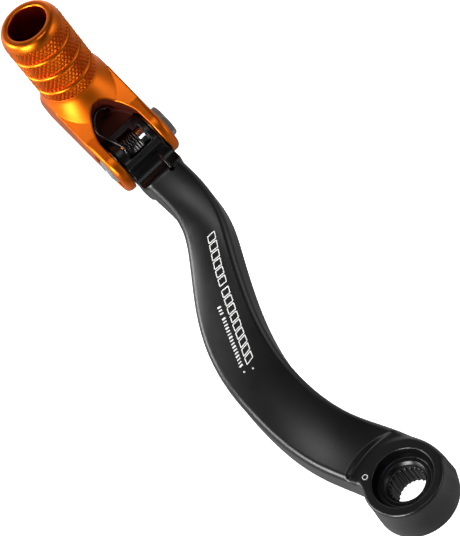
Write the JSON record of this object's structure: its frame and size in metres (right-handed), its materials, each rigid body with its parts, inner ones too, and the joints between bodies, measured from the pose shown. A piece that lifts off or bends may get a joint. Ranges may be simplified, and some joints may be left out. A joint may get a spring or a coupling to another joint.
{
  "type": "motorcycle gear shift lever",
  "caption": "Black S-shaped gear shift lever with a splined boss and an orange knurled toe peg that folds up on a cross screw against a torsion spring.",
  "frame": {"origin": "on the spline axis, at the boss's inboard face", "axes": "+Z outboard along the spline axis, +X from the boss towards the toe tip, Y along the fold pivot"},
  "size_m": [0.1734, 0.0456, 0.1179],
  "materials": {
    "black_anodised": "fine satin, black anodised over a bead-blasted forging",
    "orange_anodised": "bright machined, orange anodised",
    "black_spring_steel": "oiled black spring wire",
    "ground_steel": "ground and polished",
    "zinc_steel": "satin zinc",
    "nut_steel": "turned and hex-drawn, plain",
    "bronze": "sintered bronze"
  },
  "bodies": {
    "arm": {"shift_arm": "black_anodised", "flanged_bush_left": "bronze", "flanged_bush_right": "bronze"},
    "tip": {"toe_tip": "orange_anodised", "pivot_sleeve": "ground_steel", "pivot_screw": "zinc_steel", "pivot_nut": "nut_steel", "torsion_spring": "black_spring_steel"}
  },
  "joints": [
    {"name": "tip_fold", "type": "hinge", "parent": "arm", "child": "tip", "pos_m": [0.1225, -0.0128, 0.068], "axis": [0, -1, 0], "range_deg": [0, 80], "stiffness_Nm_per_rad": 0.4, "springref_deg": -57.3}
  ]
}
